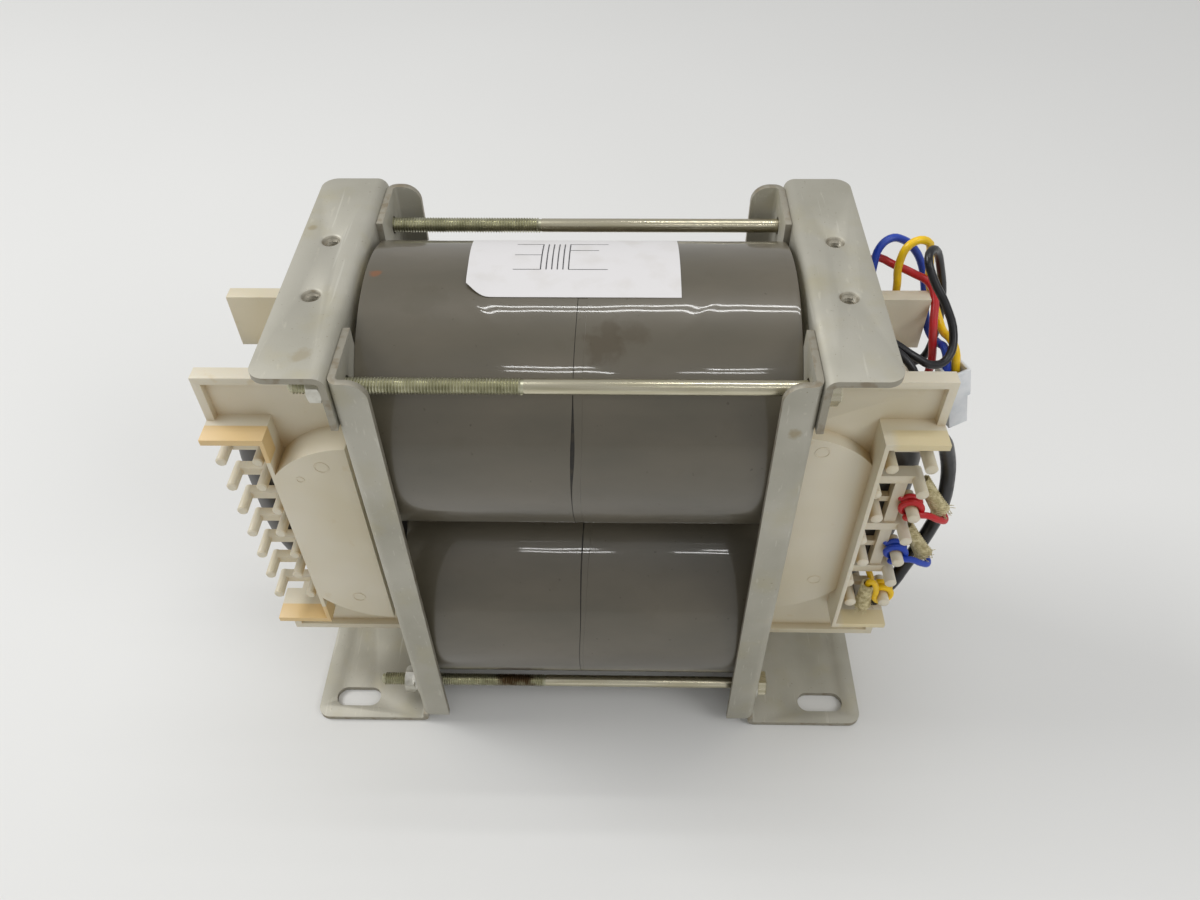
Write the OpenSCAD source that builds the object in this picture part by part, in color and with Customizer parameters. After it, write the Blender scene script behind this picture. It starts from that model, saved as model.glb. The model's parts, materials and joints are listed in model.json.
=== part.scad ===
// Chassis transformer with a closed wound core of round section, two coils,
// two folded clamp brackets and moulded terminal covers.
// X runs along the coils, Y from front to back, Z up. Z = 0 is the mounting face.

/* [Core] */
// Diameter of the round core section
core_d = 27; // [25:0.5:27]
// Distance between the two coil axes
leg_pitch = 72.8; // [72.6:0.1:74]
// Height of the point midway between the two coils
core_mid_z = 73.2; // [73:0.1:76]
// Half length of the core, measured to the middle of a yoke
core_half_x = 80.5; // [80:0.5:82]
// Bend radius of the middle line of the core
core_bend_r = 25.5; // [25:0.5:27]
// How far the core sits off centre towards the left end
core_shift = 2; // [1:0.5:2.5]

/* [Coils] */
// Outside diameter of a finished coil
coil_d = 72.4; // [68:0.1:72.4]
// Thickness of the clear film around a coil
wrap_t = 0.6; // [0.4:0.1:1]
// Wall thickness of the winding tube
tube_wall = 1.4; // [1:0.1:2]
// Thickness of the end flange of a winding tube
tube_flange_t = 1.6; // [1:0.1:2]
// Radial thickness of the primary winding
primary_t = 9.6; // [8:0.1:10]
// Thickness of the insulation between the windings
insulation_t = 0.8; // [0.5:0.1:1.2]

/* [Brackets] */
// Distance over the outsides of the two upright plates
frame_w = 103; // [102:0.5:106]
// Depth of the brackets from front to back
frame_depth = 77.2; // [76:0.2:84]
// Height of the finished frame
frame_h = 146; // [145:0.5:152]
// Sheet thickness
sheet_t = 1.6; // [1.2:0.1:2]
// Width of the front and back flanges
flange_w = 8.2; // [6:0.1:10]
// Outward reach of a foot
foot_reach = 33.9; // [32:0.1:36]
// Width of the slot that the core passes through
core_slot_w = 40.4; // [36:0.2:44]
// Length of a mounting slot, end to end
foot_slot_l = 14; // [10:0.5:15]
// Width of a mounting slot
foot_slot_w = 6.4; // [5:0.1:7]
// Distance between the mounting slots from left to right
foot_pitch_x = 147; // [146:0.5:150]
// Distance between the mounting slots from front to back
foot_pitch_y = 62.8; // [60:0.2:64]

/* [Top angles] */
// Outward reach of the top angle from the upright plate
angle_reach = 16.4; // [15:0.1:18]
// Height of the hanging leg of the top angle
angle_leg = 15.2; // [14:0.1:18]
// Distance between the tapped holes from left to right
tapped_pitch_x = 120.8; // [119:0.2:122]
// Distance between the tapped holes from front to back
tapped_pitch_y = 21.4; // [18:0.2:26]
// Bore of a tapped hole
tapped_d = 3.4; // [3.3:0.1:3.6]

/* [Clamp bolts] */
// Thread diameter of a clamp bolt
bolt_d = 3.9; // [3.8:0.05:4]
// Diameter of the plain shank
shank_d = 3.5; // [3.4:0.05:3.6]
// Distance between front and rear bolts
bolt_pitch_y = 61.6; // [60:0.2:62]
// Height of the lower bolts
bolt_low_z = 12.1; // [11:0.1:13]
// Height of the upper bolts
bolt_high_z = 137; // [136:0.1:138]
// Length of a bolt under its head
bolt_l = 116; // [114:0.5:118]
// Length of the rolled thread
thread_l = 51; // [45:1:60]

/* [End covers] */
// Half length over the covers, measured from the middle of the core
cover_half_x = 90.5; // [89.5:0.5:91]
// Half height over the covers
cover_half_z = 53.3; // [53:0.1:55]
// Wall thickness of the moulding
cover_wall = 1.8; // [1.4:0.1:2]
// Width and height of the raised rim
rim_w = 2.1; // [1.6:0.1:2.6]
// Reach of the shelves and the long wall from the middle of the core
shelf_reach = 24.3; // [23:0.1:26]
// Half distance over the outer faces of the two shelves
shelf_half_z = 39.3; // [38.8:0.1:40]
// Half length to the inner face of the long wall
wall_half_x = 74.9; // [74:0.1:76]
// Thickness of the long wall
long_wall_t = 1.1; // [1:0.1:1.8]
// Number of wire posts in a column
post_rows = 7; // [5:2:7]
// Distance between two rows of wire posts
post_pitch = 9.6; // [9.2:0.1:9.8]

/* [Leads] */
// Outside diameter of a lead wire
lead_d = 2.1; // [1.8:0.1:2.2]
// Outside diameter of the sleeved lead beside the front posts
sleeved_d = 4; // [3:0.1:4]

/* [Hidden] */

$fn = 96;
tiny = 0.01;
core_r = core_d / 2;
leg_half = leg_pitch / 2;
upper_z = core_mid_z + leg_half;
lower_z = core_mid_z - leg_half;
bend_x = core_half_x - core_bend_r;
bend_z = leg_half - core_bend_r;
web_x = frame_w / 2;
half_depth = frame_depth / 2;
bend_in = 1;
bend_out = bend_in + sheet_t;
coil_half_l = web_x - sheet_t;
tube_clear = 0.3;
tube_in_r = core_r + tube_clear;
tube_out_r = tube_in_r + tube_wall;
primary_r = tube_out_r + primary_t;
insulation_r = primary_r + insulation_t;
wrap_r = coil_d / 2;
secondary_r = wrap_r - wrap_t;
flange_r = secondary_r - 1;
winding_half_l = coil_half_l - tube_flange_t;
channel_low_z = 3.9;
bolt_y = bolt_pitch_y / 2;
bolt_hole_d = 4.5;
plain_washer_t = 0.8;
spring_washer_t = 1;
nut_t = 3.2;
head_t = 2.8;
hex_across = 7;

// Places of the four clamp bolts: y, z, and whether the top angle is under the head
UPPER = true;
LOWER = false;
bolts = [[-bolt_y, bolt_high_z, UPPER], [bolt_y, bolt_high_z, UPPER],
         [-bolt_y, bolt_low_z, LOWER], [bolt_y, bolt_low_z, LOWER]];

plate_in = core_r;
plate_out = plate_in + cover_wall;
rim_out = plate_out + rim_w;
cover_in_x = 55.5;
boss_z = leg_half;
wall_out_x = wall_half_x + long_wall_t;
deep_face_y = shelf_reach;
shallow_face_y = 19.4;

zinc = "#b2ad9c";
cream = "#dcc995";
grey_film = "#78736a";

// ---------------------------------------------------------------- helpers

// Hole along X through the upright plate at a clamp bolt
module bolt_hole(b) {
    translate([-web_x - 5, b[0], b[1]]) rotate([0, 90, 0]) cylinder(d = bolt_hole_d, h = 10);
}

// Stretched hole: two round ends and the straight between them, along X
module slot_hole(length, width, depth) {
    run = (length - width) / 2;
    for (s = [-1, 1]) translate([s * run, 0, 0]) cylinder(d = width, h = depth);
    translate([-run, -width / 2, 0]) cube([2 * run, width, depth]);
}

// Flat plate from x0 to x1 whose two corners at x1 are rounded
module round_tab(x0, x1, half_y, r, h) {
    translate([x0, -half_y, 0]) cube([x1 - r - x0, 2 * half_y, h]);
    translate([x1 - r - tiny, -half_y + r, 0]) cube([r + tiny, 2 * (half_y - r), h]);
    for (s = [-1, 1]) translate([x1 - r, s * (half_y - r), 0]) cylinder(r = r, h = h);
}

// Rounded rectangle about the origin
module round_rect(half_x, half_y, r) {
    square([2 * half_x, 2 * (half_y - r)], center = true);
    square([2 * (half_x - r), 2 * half_y], center = true);
    for (sx = [-1, 1], sy = [-1, 1]) translate([sx * (half_x - r), sy * (half_y - r)]) circle(r = r);
}

// Right-hand piece as the mirror image of a left-hand one
module right_side() {
    mirror([1, 0, 0]) children();
}

// Right-hand piece as the left-hand moulding turned end for end
module turned_about_core() {
    translate([-core_shift, 0, 0]) rotate([0, 0, 180]) translate([core_shift, 0, 0]) children();
}

// ---------------------------------------------------------------- core

// Closed core: two legs, two yokes and four bends of the same round section
module core_shape(r) {
    for (s = [-1, 1]) {
        translate([-bend_x, 0, s * leg_half]) rotate([0, 90, 0]) cylinder(r = r, h = 2 * bend_x);
        translate([s * core_half_x, 0, -bend_z]) cylinder(r = r, h = 2 * bend_z);
    }
    for (sx = [0, 1], sz = [0, 1]) mirror([sx, 0, 0]) mirror([0, 0, sz])
        translate([bend_x, 0, bend_z]) rotate([90, 0, 0])
            rotate_extrude(angle = 90) translate([core_bend_r, 0]) circle(r = r);
}

module core() {
    color("#3a3733") translate([-core_shift, 0, core_mid_z]) core_shape(core_r);
}

// ---------------------------------------------------------------- coils

// Ring of given radii along X, centred on a coil axis
module coil_ring(z, r_in, r_out, half_l) {
    translate([-half_l, 0, z]) rotate([0, 90, 0]) difference() {
        cylinder(r = r_out, h = 2 * half_l);
        translate([0, 0, -1]) cylinder(r = r_in, h = 2 * half_l + 2);
    }
}

// Winding tube with end flanges, split along its length so that it closes around the core
module bobbin_half(z, side) {
    color("#efe9d8") intersection() {
        union() {
            coil_ring(z, tube_in_r, tube_out_r, coil_half_l);
            for (s = [-1, 1]) translate([s * (coil_half_l - tube_flange_t / 2), 0, 0])
                coil_ring(z, tube_in_r, flange_r, tube_flange_t / 2);
        }
        translate([-coil_half_l - 1, side < 0 ? -coil_d : 0, z - coil_d])
            cube([2 * coil_half_l + 2, coil_d, 2 * coil_d]);
    }
}

module primary(z) {
    color("#9a4f22") coil_ring(z, tube_out_r, primary_r, winding_half_l);
}

module layer_insulation(z) {
    color("#d8c48a") coil_ring(z, primary_r, insulation_r, winding_half_l);
}

module secondary(z) {
    color("#a5582a") coil_ring(z, insulation_r, secondary_r, winding_half_l);
}

// Film sleeve that also folds down a little over each end of the coil
module wrap(z) {
    fold_r = flange_r;
    color(grey_film) {
        coil_ring(z, secondary_r, wrap_r, coil_half_l);
        for (s = [-1, 1]) translate([s * (coil_half_l - tube_flange_t / 2), 0, 0])
            coil_ring(z, fold_r, secondary_r + tiny, tube_flange_t / 2);
    }
}

// Blank paper label on top of the upper coil
module rating_label() {
    label_t = 0.15;
    label_from = -27;
    label_to = 23.2;
    front_angle = 15;
    back_angle = 29;
    color("#f1f0ec") translate([label_from, 0, upper_z]) rotate([0, 90, 0]) rotate([0, 0, 180 - back_angle])
        rotate_extrude(angle = front_angle + back_angle)
            translate([wrap_r, 0]) square([label_t, label_to - label_from]);
}

// ---------------------------------------------------------------- brackets

// Outline of the folded channel, seen from above, on the left side
module channel_outline() {
    difference() {
        union() {
            translate([-web_x, -half_depth + bend_out]) square([sheet_t, 2 * (half_depth - bend_out)]);
            for (s = [-1, 1]) {
                translate([-web_x + bend_out, s > 0 ? half_depth - sheet_t : -half_depth])
                    square([flange_w - bend_out, sheet_t]);
                intersection() {
                    translate([-web_x + bend_out, s * (half_depth - bend_out)]) circle(r = bend_out);
                    translate([-web_x, s > 0 ? half_depth - bend_out : -half_depth])
                        square([bend_out, bend_out]);
                }
            }
        }
        for (s = [-1, 1]) translate([-web_x + bend_out, s * (half_depth - bend_out)]) circle(r = bend_in);
    }
}

// Side outline of a folded foot: short upright, bend and flat foot
module foot_outline(top) {
    translate([-web_x, bend_out]) square([sheet_t, top - bend_out]);
    translate([-web_x - foot_reach, 0]) square([foot_reach - bend_in, sheet_t]);
    intersection() {
        translate([-web_x - bend_in, bend_out]) difference() {
            circle(r = bend_out);
            circle(r = bend_in);
        }
        translate([-web_x - bend_in, 0]) square([bend_out, bend_out]);
    }
}

// Channel with a slot for the core, bolt holes and an outward foot
module bracket() {
    corner_r = 4.5;
    web_top = frame_h - bend_out + bend_in;
    foot_corner_r = 4;
    color(zinc) difference() {
        union() {
            translate([0, 0, channel_low_z]) linear_extrude(web_top - channel_low_z) channel_outline();
            intersection() {
                translate([0, half_depth, 0]) rotate([90, 0, 0])
                    linear_extrude(2 * half_depth) foot_outline(channel_low_z + tiny);
                mirror([1, 0, 0])
                    round_tab(web_x - sheet_t, web_x + foot_reach, half_depth, foot_corner_r, 20);
            }
        }
        // slot for the core, open at the top
        translate([-web_x - 5, 0, lower_z]) rotate([0, 90, 0]) cylinder(d = core_slot_w, h = 10);
        translate([-web_x - 5, -core_slot_w / 2, lower_z]) cube([10, core_slot_w, frame_h]);
        // rounded top corners of the front and back flanges
        translate([-web_x + flange_w - corner_r, -half_depth - 1, web_top - corner_r]) difference() {
            cube([corner_r + 1, frame_depth + 2, corner_r + 1]);
            translate([0, -1, 0]) rotate([-90, 0, 0]) cylinder(r = corner_r, h = frame_depth + 4);
        }
        // mounting slots in the foot
        for (s = [-1, 1]) translate([-foot_pitch_x / 2, s * foot_pitch_y / 2, -1])
            slot_hole(foot_slot_l, foot_slot_w, sheet_t + 2);
        for (b = bolts) bolt_hole(b);
    }
}

// Side outline of the top angle: hanging leg, bend and flat top
module angle_outline() {
    leg_low = frame_h - angle_leg;
    translate([-web_x - sheet_t, leg_low]) square([sheet_t, angle_leg - bend_out]);
    translate([-web_x - angle_reach, frame_h - sheet_t]) square([angle_reach - bend_out, sheet_t]);
    intersection() {
        translate([-web_x - bend_out, frame_h - bend_out]) difference() {
            circle(r = bend_out);
            circle(r = bend_in);
        }
        translate([-web_x - bend_out, frame_h - bend_out]) square([bend_out, bend_out]);
    }
}

// Angle along the top of a bracket, with two drawn and tapped holes
module top_angle() {
    corner_r = 4;
    collar_r = 2.7;
    collar_l = 1.8;
    lead_in = 0.3;
    hole_x = -tapped_pitch_x / 2;
    color(zinc) difference() {
        union() {
            intersection() {
                translate([0, half_depth, 0]) rotate([90, 0, 0])
                    linear_extrude(2 * half_depth) angle_outline();
                mirror([1, 0, 0]) round_tab(web_x, web_x + angle_reach, half_depth, corner_r, frame_h + 1);
            }
            for (s = [-1, 1]) translate([hole_x, s * tapped_pitch_y / 2, frame_h - sheet_t - collar_l])
                cylinder(r = collar_r, h = collar_l + tiny);
        }
        for (s = [-1, 1]) translate([hole_x, s * tapped_pitch_y / 2, 0]) {
            cylinder(d = tapped_d, h = frame_h + 1);
            translate([0, 0, frame_h - lead_in])
                cylinder(d1 = tapped_d, d2 = tapped_d + 2 * lead_in, h = lead_in + tiny);
        }
        for (b = bolts) bolt_hole(b);
    }
}

// ---------------------------------------------------------------- clamp bolts

// Outside of the clamped sheets at a bolt: the upper bolts also hold the top angle
function clamp_face(upper) = web_x + (upper ? sheet_t : 0);

// Hex head on the right, plain shank, rolled thread on the left
module clamp_bolt(b) {
    head_x = clamp_face(b[2]) + plain_washer_t;
    color("#c9c4ae") translate([0, b[0], b[1]]) rotate([0, 90, 0]) {
        translate([0, 0, head_x]) cylinder(d = hex_across / cos(30), h = head_t, $fn = 6);
        translate([0, 0, head_x - bolt_l + thread_l]) cylinder(d = shank_d, h = bolt_l - thread_l + tiny);
        translate([0, 0, head_x - bolt_l]) cylinder(d = bolt_d, h = thread_l);
        translate([0, 0, head_x - bolt_l - 0.5]) cylinder(d1 = bolt_d - 1, d2 = bolt_d, h = 0.5 + tiny);
    }
}

// Flat ring along X
module washer_ring(x, b, d_in, d_out, t) {
    translate([x, b[0], b[1]]) rotate([0, 90, 0]) difference() {
        cylinder(d = d_out, h = t);
        translate([0, 0, -1]) cylinder(d = d_in, h = t + 2);
    }
}

// One plain washer under each head and one under each nut
module plain_washers() {
    color("#bdb9ac") for (b = bolts) {
        washer_ring(clamp_face(b[2]), b, 4.3, 9, plain_washer_t);
        washer_ring(-clamp_face(b[2]) - plain_washer_t, b, 4.3, 9, plain_washer_t);
    }
}

// Split spring washer between the plain washer and the nut
module spring_washers() {
    gap = 0.6;
    color("#9c9a92") for (b = bolts) {
        x = -clamp_face(b[2]) - plain_washer_t - spring_washer_t;
        difference() {
            washer_ring(x, b, 4.2, 7.2, spring_washer_t);
            translate([x - 1, b[0] - gap / 2, b[1]]) cube([spring_washer_t + 2, gap, 5]);
        }
    }
}

// Hexagon nuts with chamfered corners
module hex_nuts() {
    corner_d = hex_across / cos(30);
    color("#d8d5cb") for (b = bolts) {
        x = -clamp_face(b[2]) - plain_washer_t - spring_washer_t - nut_t;
        translate([x, b[0], b[1]]) rotate([0, 90, 0]) difference() {
            intersection() {
                cylinder(d = corner_d, h = nut_t, $fn = 6);
                union() {
                    cylinder(d1 = hex_across, d2 = corner_d, h = 0.4);
                    translate([0, 0, 0.4]) cylinder(d = corner_d, h = nut_t - 0.8);
                    translate([0, 0, nut_t - 0.4]) cylinder(d1 = corner_d, d2 = hex_across, h = 0.4);
                }
            }
            translate([0, 0, -1]) cylinder(d = bolt_d, h = nut_t + 2);
        }
    }
}

// ---------------------------------------------------------------- end covers
// A cover half is drawn with its outer end towards +X and its open side at Y = 0.
// The two kinds differ in the depth of the raised face and in the posts.

// Upper half of the shell that lies over the core between the two plates
module corner_shell() {
    shell_r = core_bend_r + core_r + cover_wall;
    end_z = shelf_half_z - cover_wall;
    intersection() {
        rotate([-90, 0, 0]) linear_extrude(plate_in + tiny) difference() {
            union() {
                translate([bend_x, -bend_z]) circle(r = shell_r);
                translate([cover_in_x, -bend_z - shell_r]) square([bend_x - cover_in_x + tiny, shell_r]);
            }
            translate([bend_x, -bend_z]) circle(r = shell_r - cover_wall);
            translate([0, -bend_z - shell_r + cover_wall]) square([bend_x, shell_r]);
        }
        translate([cover_in_x, -1, end_z]) cube([60, plate_in + 2, 60]);
    }
}

// Upper part of a half: plate with rim, shelf and the shell behind it
module cover_head() {
    shelf_low = shelf_half_z - cover_wall;
    difference() {
        translate([cover_in_x, plate_in, shelf_low])
            cube([cover_half_x - cover_in_x, rim_out - plate_in, cover_half_z - shelf_low]);
        translate([cover_in_x - 1, plate_out, shelf_half_z])
            cube([cover_half_x - cover_in_x + 1 - rim_w, rim_w + 1, cover_half_z - shelf_half_z - rim_w]);
        // no ledge between the long wall and the coil
        translate([cover_in_x - 1, plate_out, shelf_low - 1])
            cube([wall_half_x - cover_in_x + 1, rim_w + 1, cover_wall + 2]);
    }
    translate([wall_half_x, plate_in, shelf_low])
        cube([cover_half_x - wall_half_x, shelf_reach - plate_in, cover_wall]);
    corner_shell();
}

// Raised face that follows the middle line of the core up to end_x, hollow behind
module raised_face(face_y, end_x) {
    inner_y = face_y - cover_wall;
    block_z = 2 * boss_z + 10;
    difference() {
        intersection() {
            rotate([-90, 0, 0]) linear_extrude(face_y) round_rect(core_half_x, boss_z, core_bend_r);
            translate([cover_in_x, plate_in, -block_z / 2])
                cube([end_x - cover_in_x, face_y, block_z]);
        }
        if (inner_y > plate_in + 1) intersection() {
            rotate([-90, 0, 0]) linear_extrude(inner_y)
                round_rect(core_half_x - cover_wall, boss_z - cover_wall, core_bend_r - cover_wall);
            translate([cover_in_x + cover_wall, plate_in - 1, -block_z / 2])
                cube([wall_half_x - cover_in_x - cover_wall, face_y, block_z]);
        }
    }
}

// One wire post: a bar out from the long wall with a pin at its outer end and one near the wall
module post_row(bar_back, bar_front, bar_h, pin_tip, pin_d, near_x) {
    bar_end = cover_half_x - 0.3;
    pin_x = bar_end - pin_d / 2;
    chamfer = 0.3;
    pin_l = pin_tip - bar_back;
    translate([wall_half_x, bar_back, -bar_h / 2])
        cube([bar_end - wall_half_x - 1, bar_front - bar_back, bar_h]);
    for (x = [pin_x, near_x]) translate([x, bar_back, 0]) rotate([-90, 0, 0]) {
        cylinder(d = pin_d, h = pin_l - chamfer, $fn = 32);
        translate([0, 0, pin_l - chamfer - tiny])
            cylinder(d1 = pin_d, d2 = pin_d - 2 * chamfer, h = chamfer + tiny, $fn = 32);
    }
}

// Height of a wire post above the middle, counted from the bottom
function post_z(i) = (i - (post_rows - 1) / 2) * post_pitch;

// Plates, shelves and long wall that both kinds of half share
module half_body() {
    for (m = [0, 1]) mirror([0, 0, m]) cover_head();
    translate([cover_in_x, plate_in, -shelf_half_z])
        cube([wall_out_x - cover_in_x, cover_wall, 2 * shelf_half_z]);
    translate([wall_half_x, plate_in, -shelf_half_z])
        cube([long_wall_t, shelf_reach - plate_in, 2 * shelf_half_z]);
}

// Half whose deep raised face runs flush over the long wall; its near pins stand in two columns
module deep_half() {
    bar_back = plate_in + 0.1;
    bar_front = plate_in + 2.8;
    half_body();
    raised_face(deep_face_y, wall_out_x);
    for (i = [0 : post_rows - 1]) translate([0, 0, post_z(i)])
        post_row(bar_back, bar_front, 2.4, deep_face_y - 2.3, 2.8, i % 2 == 1 ? 81 : 79.4);
}

// Half with the shallow raised face; every second row has a full bar, and ribs tie these together
module shallow_half() {
    rib_x = 83.3;
    rib_w = 3.2;
    bar_back = plate_in + 0.2;
    bar_front = plate_in + 3.9;
    half_body();
    raised_face(shallow_face_y, wall_half_x + tiny);
    for (i = [0 : post_rows - 1]) {
        full = i % 2 == 1;
        translate([0, 0, post_z(i)])
            post_row(bar_back, full ? bar_front : bar_front - 1.8, full ? 2.8 : 2, shallow_face_y + 3.5, 3.2,
                full ? 76.6 : 78.9);
    }
    for (s = [-1, 1]) translate([rib_x, bar_back, s * post_pitch - post_pitch])
        cube([rib_w, bar_front - bar_back - 0.6, 2 * post_pitch]);
}

module left_cover_front() {
    color(cream) translate([-core_shift, 0, core_mid_z]) rotate([0, 0, 180]) deep_half();
}

module left_cover_rear() {
    color(cream) translate([-core_shift, 0, core_mid_z]) mirror([1, 0, 0]) shallow_half();
}

module right_cover_front() {
    color(cream) turned_about_core() left_cover_rear();
}

module right_cover_rear() {
    color(cream) turned_about_core() left_cover_front();
}

// ---------------------------------------------------------------- leads

function unit(v) = v / norm(v);

// Middle of the segment before and after a route point, as its direction
function heading(p, i) = unit(p[min(i + 1, len(p) - 1)] - p[max(i - 1, 0)]);

// Eight-sided tube swept along a route, with a ring at each of its points
module lead_tube(p, d) {
    sides = 8;
    rings = [for (i = [0 : len(p) - 1])
        let (t = heading(p, i), n = unit(cross(t, [0.05, 1, 0.02])), b = cross(t, n))
            for (k = [0 : sides - 1]) p[i] + d / 2 * (cos(360 * k / sides) * n + sin(360 * k / sides) * b)];
    last = (len(p) - 1) * sides;
    faces = concat(
        [[for (k = [0 : sides - 1]) k]],
        [for (i = [0 : len(p) - 2], k = [0 : sides - 1])
            [i * sides + k, (i + 1) * sides + k, (i + 1) * sides + (k + 1) % sides]],
        [for (i = [0 : len(p) - 2], k = [0 : sides - 1])
            [i * sides + k, (i + 1) * sides + (k + 1) % sides, i * sides + (k + 1) % sides]],
        [[for (k = [sides - 1 : -1 : 0]) last + k]]);
    polyhedron(rings, faces);
}

// Connector hanging beside the right end: middle of its mouth, tilt, turn, and its sizes
mouth = [93.4, 0, 116];
plug_tilt = -14;
plug_turn = 19;
plug_w = 6.4;
plug_wall = 0.8;
plug_foot_w = 5.4;
plug_l = 19;
plug_step = 9;
plug_recess = 7;

// Point in the frame of the connector: x and y across its mouth, and so far down
function plug_point(x, y, down) =
    let (along = x * cos(plug_turn) - y * sin(plug_turn), across = x * sin(plug_turn) + y * cos(plug_turn))
        mouth + [along * cos(plug_tilt) - down * sin(plug_tilt), across,
            -along * sin(plug_tilt) - down * cos(plug_tilt)];

// Routes of the free leads, point by point. Blue, red and yellow rise from the rear shelf at
// the right end, the black ones come out of the upper coil above the shell. Blue and yellow
// end in the connector, the others at the outer wire posts.
blue_route = concat(
    [[75, 20, 112.5], [75, 20, 118], [74.5, 21.5, 126.4], [74.7, 23, 131], [75.6, 24.5, 134.6],
     [78.2, 26, 136.4], [82, 27.4, 135.2], [85.8, 28, 131.9], [88.6, 27.4, 127.5], [89.9, 25, 122.8],
     [89.9, 20.5, 119.5], [89.8, 16, 117.4], [90.2, 11.5, 116.6], [91, 7.2, 117.6], [91.4, 3.4, 119]],
    [plug_point(-1.3, 0.6, 1), plug_point(-1.3, 0.6, plug_recess)]);
red_route = [
    [77.6, 22.8, 112.5], [77.6, 22.8, 117], [75.4, 24.2, 122.6], [73, 25, 127], [75.2, 25.4, 130.8],
    [80.6, 24.4, 129.4], [85.4, 22, 128.4], [88.8, 18.8, 127.8], [89.8, 14.6, 125.4], [89.2, 10.4, 122.8],
    [88.8, 6, 119.4], [89.6, 5, 114.4], [90.2, 6, 107.6], [90.8, 9.6, 97], [91.6, 14.6, 86],
    [90.9, 15.4, 83.2], [88.2, 15.4, 82.8]];
yellow_route = concat(
    [[82, 21.4, 112.5], [82, 21.4, 119], [81.2, 20.6, 126], [80.2, 20.2, 133], [82, 21, 138.2],
     [86.6, 22.6, 138], [88.8, 23.6, 132.6], [89.9, 22, 125.6], [91, 17.4, 122.4], [91.6, 13, 120.8],
     [92, 9, 120], [92.6, 5, 121], [93.4, 1.6, 120]],
    [plug_point(0.9, 0.2, 1), plug_point(0.9, 0.2, plug_recess)]);
black_route = [
    [49.9, 4, 127.9], [62, 4, 127.9], [70.6, 1, 127], [76.4, -2.2, 125.4],
    [81.4, -4.6, 123.2], [86.6, -4.6, 120.6], [90.6, -2, 121], [91.8, 2, 124.6], [89.4, 6, 130.6],
    [85.8, 9, 136], [84.2, 12.4, 140.2], [87, 17, 139.4], [91, 20, 131.4],
    [94, 20.6, 121], [94.4, 19.4, 109], [91.6, 18, 102.2], [88.2, 18, 102]];
black_pair_route = [
    [49.9, 0.6, 127.9], [62, 0.6, 127.9], [70.6, -2.2, 127], [76, -5, 125.6],
    [79.6, -7.8, 123.2], [81.6, -9.2, 119.8], [83.4, -9.6, 116], [85, -9.2, 112.4], [86.4, -8.6, 108.6],
    [86.8, -9.4, 104.8], [86.6, -11.8, 102.2], [86.6, -13.7, 102]];
sleeved_route = [
    [86.4, -15.6, 110.7], [86.4, -15.6, 108.6], [90.6, -13.8, 104], [94.2, -11.8, 96.6],
    [97.6, -10.2, 85], [99, -9.6, 72], [97.4, -10, 59], [93.8, -11.4, 46.8], [90.6, -13.8, 41.4],
    [86.4, -15.6, 37.8], [86.4, -15.6, 35.7]];

module blue_lead() {
    color("#1d4fb4") lead_tube(blue_route, lead_d);
}

module red_lead() {
    color("#c4161f") lead_tube(red_route, lead_d);
}

module yellow_lead() {
    color("#f2c10c") lead_tube(yellow_route, lead_d);
}

module black_lead() {
    color("#1c1c20") lead_tube(black_route, lead_d);
}

module black_pair_lead() {
    color("#1c1c20") lead_tube(black_pair_route, lead_d);
}

module sleeved_lead() {
    color("#18181a") lead_tube(sleeved_route, sleeved_d);
}

// Glass-fibre sleeves over the winding ends at the right front: two lean out past the
// outer pins, the third hangs upright between the columns of pins
module lead_sleeves() {
    sleeve_d = 4;
    bore_d = 2.8;
    lean_l = 11;
    // upper end, tilt from upright, turn, length
    sleeves = [[[89.4, -13.8, 88.5], 141, -28, lean_l], [[89.4, -13.8, 69.3], 141, -28, lean_l],
               [[81.6, -19.8, 50], 180, 0, 10]];
    color("#d9cfa6") for (s = sleeves) translate(s[0]) rotate([0, s[1], s[2]]) difference() {
        cylinder(d = sleeve_d, h = s[3], $fn = 32);
        translate([0, 0, -1]) cylinder(d = bore_d, h = s[3] + 2, $fn = 32);
    }
}

// Square nylon housing, open at the top, with a narrower lower body
module connector_housing() {
    inner_w = plug_w - 2 * plug_wall;
    color("#eef0f2") translate(mouth) rotate([0, plug_tilt, 0]) rotate([0, 0, plug_turn]) difference() {
        union() {
            translate([-plug_foot_w / 2, -plug_foot_w / 2, -plug_l])
                cube([plug_foot_w, plug_foot_w, plug_l - 1]);
            translate([-plug_w / 2, -plug_w / 2, -plug_step]) cube([plug_w, plug_w, plug_step]);
        }
        translate([-inner_w / 2, -inner_w / 2, -plug_recess]) cube([inner_w, inner_w, plug_recess + 1]);
    }
}

// ---------------------------------------------------------------- assembly

core();
bobbin_half(upper_z, -1);  // upper_bobbin_front
bobbin_half(upper_z, 1);  // upper_bobbin_rear
bobbin_half(lower_z, -1);  // lower_bobbin_front
bobbin_half(lower_z, 1);  // lower_bobbin_rear
primary(upper_z);  // upper_primary
primary(lower_z);  // lower_primary
layer_insulation(upper_z);  // upper_insulation
layer_insulation(lower_z);  // lower_insulation
secondary(upper_z);  // upper_secondary
secondary(lower_z);  // lower_secondary
wrap(upper_z);  // upper_wrap
wrap(lower_z);  // lower_wrap
bracket();  // left_bracket
right_side() bracket();  // right_bracket
top_angle();  // left_top_angle
right_side() top_angle();  // right_top_angle
left_cover_front();
left_cover_rear();
right_cover_front();
right_cover_rear();
clamp_bolt(bolts[0]);  // bolt_upper_front
clamp_bolt(bolts[1]);  // bolt_upper_rear
clamp_bolt(bolts[2]);  // bolt_lower_front
clamp_bolt(bolts[3]);  // bolt_lower_rear
plain_washers();
spring_washers();
hex_nuts();
rating_label();
lead_sleeves();
blue_lead();
red_lead();
yellow_lead();
black_lead();
black_pair_lead();
sleeved_lead();
connector_housing();
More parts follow.
